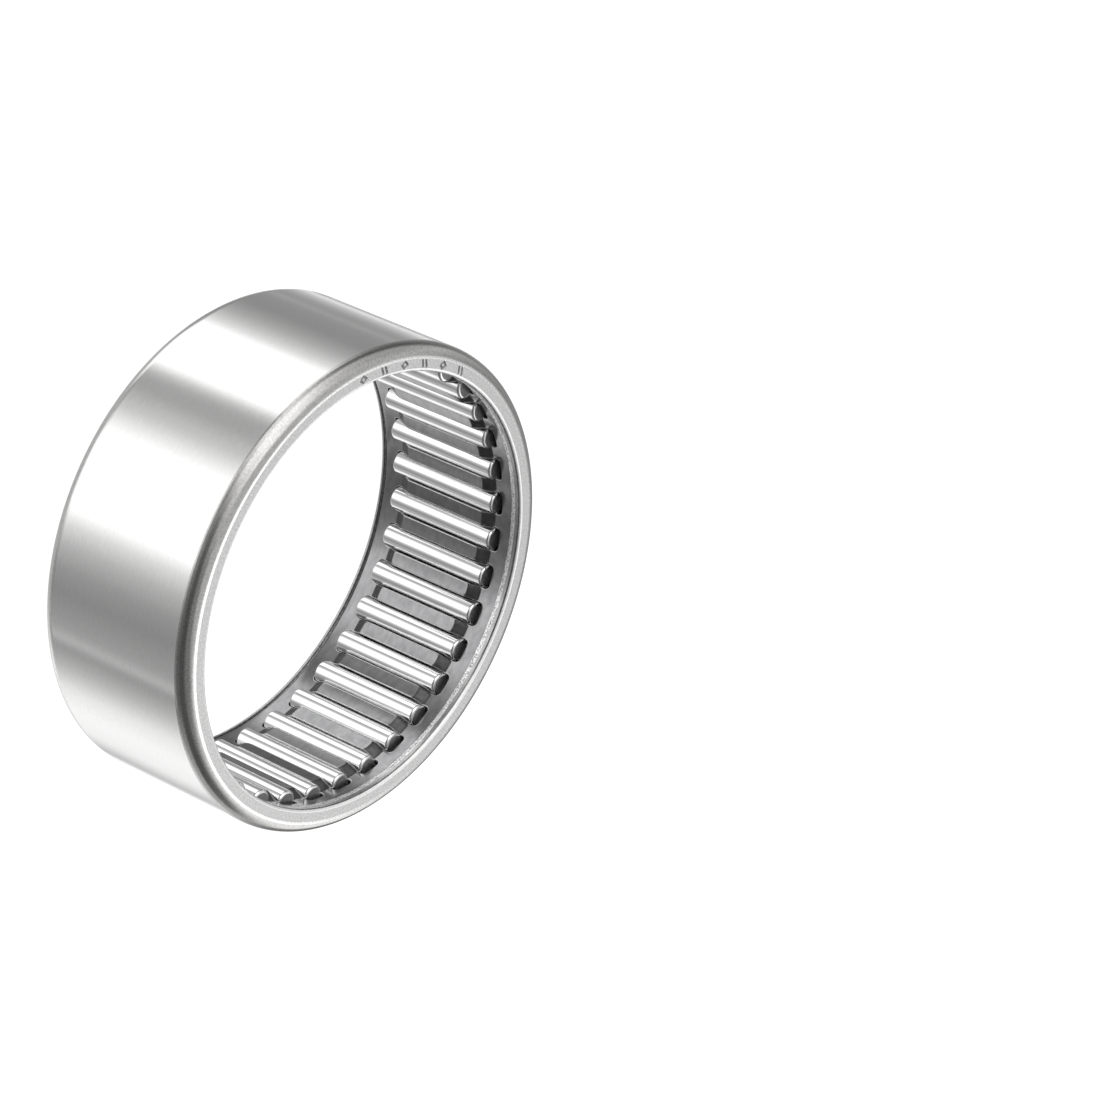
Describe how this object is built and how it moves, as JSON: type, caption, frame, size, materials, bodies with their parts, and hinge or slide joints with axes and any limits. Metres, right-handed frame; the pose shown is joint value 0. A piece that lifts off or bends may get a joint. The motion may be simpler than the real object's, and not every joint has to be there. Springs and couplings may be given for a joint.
{
  "type": "drawn cup needle roller bearing",
  "caption": "Open-ended drawn-cup needle roller bearing: a thin steel sleeve with turned-in lips holding a sheet-steel cage of fine needle rollers that run straight on a shaft",
  "frame": {"origin": "on the bearing's axis, in the middle of its width", "axes": "+Z runs along the bearing's axis, out of the marked end face, which is up; +X and +Y lie across the bearing, and the first needle is on +X"},
  "size_m": [0.052, 0.052, 0.02],
  "materials": {
    "ground_steel": "ground on the outside, tumbled satin on the end faces",
    "cage_steel": "bare satin sheet steel",
    "polished_steel": "polished"
  },
  "bodies": {
    "cup": {"drawn_cup": "ground_steel"},
    "cage": {"needle_cage": "cage_steel"},
    "needle_01": {"needle_01": "polished_steel"},
    "needle_02": {"needle_02": "polished_steel"},
    "needle_03": {"needle_03": "polished_steel"},
    "needle_04": {"needle_04": "polished_steel"},
    "needle_05": {"needle_05": "polished_steel"},
    "needle_06": {"needle_06": "polished_steel"},
    "needle_07": {"needle_07": "polished_steel"},
    "needle_08": {"needle_08": "polished_steel"},
    "needle_09": {"needle_09": "polished_steel"},
    "needle_10": {"needle_10": "polished_steel"},
    "needle_11": {"needle_11": "polished_steel"},
    "needle_12": {"needle_12": "polished_steel"},
    "needle_13": {"needle_13": "polished_steel"},
    "needle_14": {"needle_14": "polished_steel"},
    "needle_15": {"needle_15": "polished_steel"},
    "needle_16": {"needle_16": "polished_steel"},
    "needle_17": {"needle_17": "polished_steel"},
    "needle_18": {"needle_18": "polished_steel"},
    "needle_19": {"needle_19": "polished_steel"},
    "needle_20": {"needle_20": "polished_steel"},
    "needle_21": {"needle_21": "polished_steel"},
    "needle_22": {"needle_22": "polished_steel"},
    "needle_23": {"needle_23": "polished_steel"},
    "needle_24": {"needle_24": "polished_steel"},
    "needle_25": {"needle_25": "polished_steel"},
    "needle_26": {"needle_26": "polished_steel"},
    "needle_27": {"needle_27": "polished_steel"},
    "needle_28": {"needle_28": "polished_steel"},
    "needle_29": {"needle_29": "polished_steel"},
    "needle_30": {"needle_30": "polished_steel"},
    "needle_31": {"needle_31": "polished_steel"},
    "needle_32": {"needle_32": "polished_steel"},
    "needle_33": {"needle_33": "polished_steel"},
    "needle_34": {"needle_34": "polished_steel"},
    "needle_35": {"needle_35": "polished_steel"},
    "needle_36": {"needle_36": "polished_steel"}
  },
  "joints": [
    {"name": "cage_spin", "type": "hinge", "parent": "cup", "child": "cage", "pos_m": [0, 0, 0], "axis": [0, 0, 1], "continuous": true},
    {"name": "needle_01_spin", "type": "hinge", "parent": "cage", "child": "needle_01", "pos_m": [0.02372, 0, -0.0003], "axis": [0, 0, 1], "continuous": true},
    {"name": "needle_02_spin", "type": "hinge", "parent": "cage", "child": "needle_02", "pos_m": [0.02336, 0.00412, -0.0003], "axis": [0, 0, 1], "continuous": true},
    {"name": "needle_03_spin", "type": "hinge", "parent": "cage", "child": "needle_03", "pos_m": [0.02229, 0.00811, -0.0003], "axis": [0, 0, 1], "continuous": true},
    {"name": "needle_04_spin", "type": "hinge", "parent": "cage", "child": "needle_04", "pos_m": [0.02054, 0.01186, -0.0003], "axis": [0, 0, 1], "continuous": true},
    {"name": "needle_05_spin", "type": "hinge", "parent": "cage", "child": "needle_05", "pos_m": [0.01817, 0.01525, -0.0003], "axis": [0, 0, 1], "continuous": true},
    {"name": "needle_06_spin", "type": "hinge", "parent": "cage", "child": "needle_06", "pos_m": [0.01525, 0.01817, -0.0003], "axis": [0, 0, 1], "continuous": true},
    {"name": "needle_07_spin", "type": "hinge", "parent": "cage", "child": "needle_07", "pos_m": [0.01186, 0.02054, -0.0003], "axis": [0, 0, 1], "continuous": true},
    {"name": "needle_08_spin", "type": "hinge", "parent": "cage", "child": "needle_08", "pos_m": [0.00811, 0.02229, -0.0003], "axis": [0, 0, 1], "continuous": true},
    {"name": "needle_09_spin", "type": "hinge", "parent": "cage", "child": "needle_09", "pos_m": [0.00412, 0.02336, -0.0003], "axis": [0, 0, 1], "continuous": true},
    {"name": "needle_10_spin", "type": "hinge", "parent": "cage", "child": "needle_10", "pos_m": [0, 0.02372, -0.0003], "axis": [0, 0, 1], "continuous": true},
    {"name": "needle_11_spin", "type": "hinge", "parent": "cage", "child": "needle_11", "pos_m": [-0.00412, 0.02336, -0.0003], "axis": [0, 0, 1], "continuous": true},
    {"name": "needle_12_spin", "type": "hinge", "parent": "cage", "child": "needle_12", "pos_m": [-0.00811, 0.02229, -0.0003], "axis": [0, 0, 1], "continuous": true},
    {"name": "needle_13_spin", "type": "hinge", "parent": "cage", "child": "needle_13", "pos_m": [-0.01186, 0.02054, -0.0003], "axis": [0, 0, 1], "continuous": true},
    {"name": "needle_14_spin", "type": "hinge", "parent": "cage", "child": "needle_14", "pos_m": [-0.01525, 0.01817, -0.0003], "axis": [0, 0, 1], "continuous": true},
    {"name": "needle_15_spin", "type": "hinge", "parent": "cage", "child": "needle_15", "pos_m": [-0.01817, 0.01525, -0.0003], "axis": [0, 0, 1], "continuous": true},
    {"name": "needle_16_spin", "type": "hinge", "parent": "cage", "child": "needle_16", "pos_m": [-0.02054, 0.01186, -0.0003], "axis": [0, 0, 1], "continuous": true},
    {"name": "needle_17_spin", "type": "hinge", "parent": "cage", "child": "needle_17", "pos_m": [-0.02229, 0.00811, -0.0003], "axis": [0, 0, 1], "continuous": true},
    {"name": "needle_18_spin", "type": "hinge", "parent": "cage", "child": "needle_18", "pos_m": [-0.02336, 0.00412, -0.0003], "axis": [0, 0, 1], "continuous": true},
    {"name": "needle_19_spin", "type": "hinge", "parent": "cage", "child": "needle_19", "pos_m": [-0.02372, 0, -0.0003], "axis": [0, 0, 1], "continuous": true},
    {"name": "needle_20_spin", "type": "hinge", "parent": "cage", "child": "needle_20", "pos_m": [-0.02336, -0.00412, -0.0003], "axis": [0, 0, 1], "continuous": true},
    {"name": "needle_21_spin", "type": "hinge", "parent": "cage", "child": "needle_21", "pos_m": [-0.02229, -0.00811, -0.0003], "axis": [0, 0, 1], "continuous": true},
    {"name": "needle_22_spin", "type": "hinge", "parent": "cage", "child": "needle_22", "pos_m": [-0.02054, -0.01186, -0.0003], "axis": [0, 0, 1], "continuous": true},
    {"name": "needle_23_spin", "type": "hinge", "parent": "cage", "child": "needle_23", "pos_m": [-0.01817, -0.01525, -0.0003], "axis": [0, 0, 1], "continuous": true},
    {"name": "needle_24_spin", "type": "hinge", "parent": "cage", "child": "needle_24", "pos_m": [-0.01525, -0.01817, -0.0003], "axis": [0, 0, 1], "continuous": true},
    {"name": "needle_25_spin", "type": "hinge", "parent": "cage", "child": "needle_25", "pos_m": [-0.01186, -0.02054, -0.0003], "axis": [0, 0, 1], "continuous": true},
    {"name": "needle_26_spin", "type": "hinge", "parent": "cage", "child": "needle_26", "pos_m": [-0.00811, -0.02229, -0.0003], "axis": [0, 0, 1], "continuous": true},
    {"name": "needle_27_spin", "type": "hinge", "parent": "cage", "child": "needle_27", "pos_m": [-0.00412, -0.02336, -0.0003], "axis": [0, 0, 1], "continuous": true},
    {"name": "needle_28_spin", "type": "hinge", "parent": "cage", "child": "needle_28", "pos_m": [0, -0.02372, -0.0003], "axis": [0, 0, 1], "continuous": true},
    {"name": "needle_29_spin", "type": "hinge", "parent": "cage", "child": "needle_29", "pos_m": [0.00412, -0.02336, -0.0003], "axis": [0, 0, 1], "continuous": true},
    {"name": "needle_30_spin", "type": "hinge", "parent": "cage", "child": "needle_30", "pos_m": [0.00811, -0.02229, -0.0003], "axis": [0, 0, 1], "continuous": true},
    {"name": "needle_31_spin", "type": "hinge", "parent": "cage", "child": "needle_31", "pos_m": [0.01186, -0.02054, -0.0003], "axis": [0, 0, 1], "continuous": true},
    {"name": "needle_32_spin", "type": "hinge", "parent": "cage", "child": "needle_32", "pos_m": [0.01525, -0.01817, -0.0003], "axis": [0, 0, 1], "continuous": true},
    {"name": "needle_33_spin", "type": "hinge", "parent": "cage", "child": "needle_33", "pos_m": [0.01817, -0.01525, -0.0003], "axis": [0, 0, 1], "continuous": true},
    {"name": "needle_34_spin", "type": "hinge", "parent": "cage", "child": "needle_34", "pos_m": [0.02054, -0.01186, -0.0003], "axis": [0, 0, 1], "continuous": true},
    {"name": "needle_35_spin", "type": "hinge", "parent": "cage", "child": "needle_35", "pos_m": [0.02229, -0.00811, -0.0003], "axis": [0, 0, 1], "continuous": true},
    {"name": "needle_36_spin", "type": "hinge", "parent": "cage", "child": "needle_36", "pos_m": [0.02336, -0.00412, -0.0003], "axis": [0, 0, 1], "continuous": true}
  ],
  "couplings": [
    {"joint": "needle_01_spin", "follows": "cage_spin", "ratio": -20},
    {"joint": "needle_02_spin", "follows": "cage_spin", "ratio": -20},
    {"joint": "needle_03_spin", "follows": "cage_spin", "ratio": -20},
    {"joint": "needle_04_spin", "follows": "cage_spin", "ratio": -20},
    {"joint": "needle_05_spin", "follows": "cage_spin", "ratio": -20},
    {"joint": "needle_06_spin", "follows": "cage_spin", "ratio": -20},
    {"joint": "needle_07_spin", "follows": "cage_spin", "ratio": -20},
    {"joint": "needle_08_spin", "follows": "cage_spin", "ratio": -20},
    {"joint": "needle_09_spin", "follows": "cage_spin", "ratio": -20},
    {"joint": "needle_10_spin", "follows": "cage_spin", "ratio": -20},
    {"joint": "needle_11_spin", "follows": "cage_spin", "ratio": -20},
    {"joint": "needle_12_spin", "follows": "cage_spin", "ratio": -20},
    {"joint": "needle_13_spin", "follows": "cage_spin", "ratio": -20},
    {"joint": "needle_14_spin", "follows": "cage_spin", "ratio": -20},
    {"joint": "needle_15_spin", "follows": "cage_spin", "ratio": -20},
    {"joint": "needle_16_spin", "follows": "cage_spin", "ratio": -20},
    {"joint": "needle_17_spin", "follows": "cage_spin", "ratio": -20},
    {"joint": "needle_18_spin", "follows": "cage_spin", "ratio": -20},
    {"joint": "needle_19_spin", "follows": "cage_spin", "ratio": -20},
    {"joint": "needle_20_spin", "follows": "cage_spin", "ratio": -20},
    {"joint": "needle_21_spin", "follows": "cage_spin", "ratio": -20},
    {"joint": "needle_22_spin", "follows": "cage_spin", "ratio": -20},
    {"joint": "needle_23_spin", "follows": "cage_spin", "ratio": -20},
    {"joint": "needle_24_spin", "follows": "cage_spin", "ratio": -20},
    {"joint": "needle_25_spin", "follows": "cage_spin", "ratio": -20},
    {"joint": "needle_26_spin", "follows": "cage_spin", "ratio": -20},
    {"joint": "needle_27_spin", "follows": "cage_spin", "ratio": -20},
    {"joint": "needle_28_spin", "follows": "cage_spin", "ratio": -20},
    {"joint": "needle_29_spin", "follows": "cage_spin", "ratio": -20},
    {"joint": "needle_30_spin", "follows": "cage_spin", "ratio": -20},
    {"joint": "needle_31_spin", "follows": "cage_spin", "ratio": -20},
    {"joint": "needle_32_spin", "follows": "cage_spin", "ratio": -20},
    {"joint": "needle_33_spin", "follows": "cage_spin", "ratio": -20},
    {"joint": "needle_34_spin", "follows": "cage_spin", "ratio": -20},
    {"joint": "needle_35_spin", "follows": "cage_spin", "ratio": -20},
    {"joint": "needle_36_spin", "follows": "cage_spin", "ratio": -20}
  ]
}
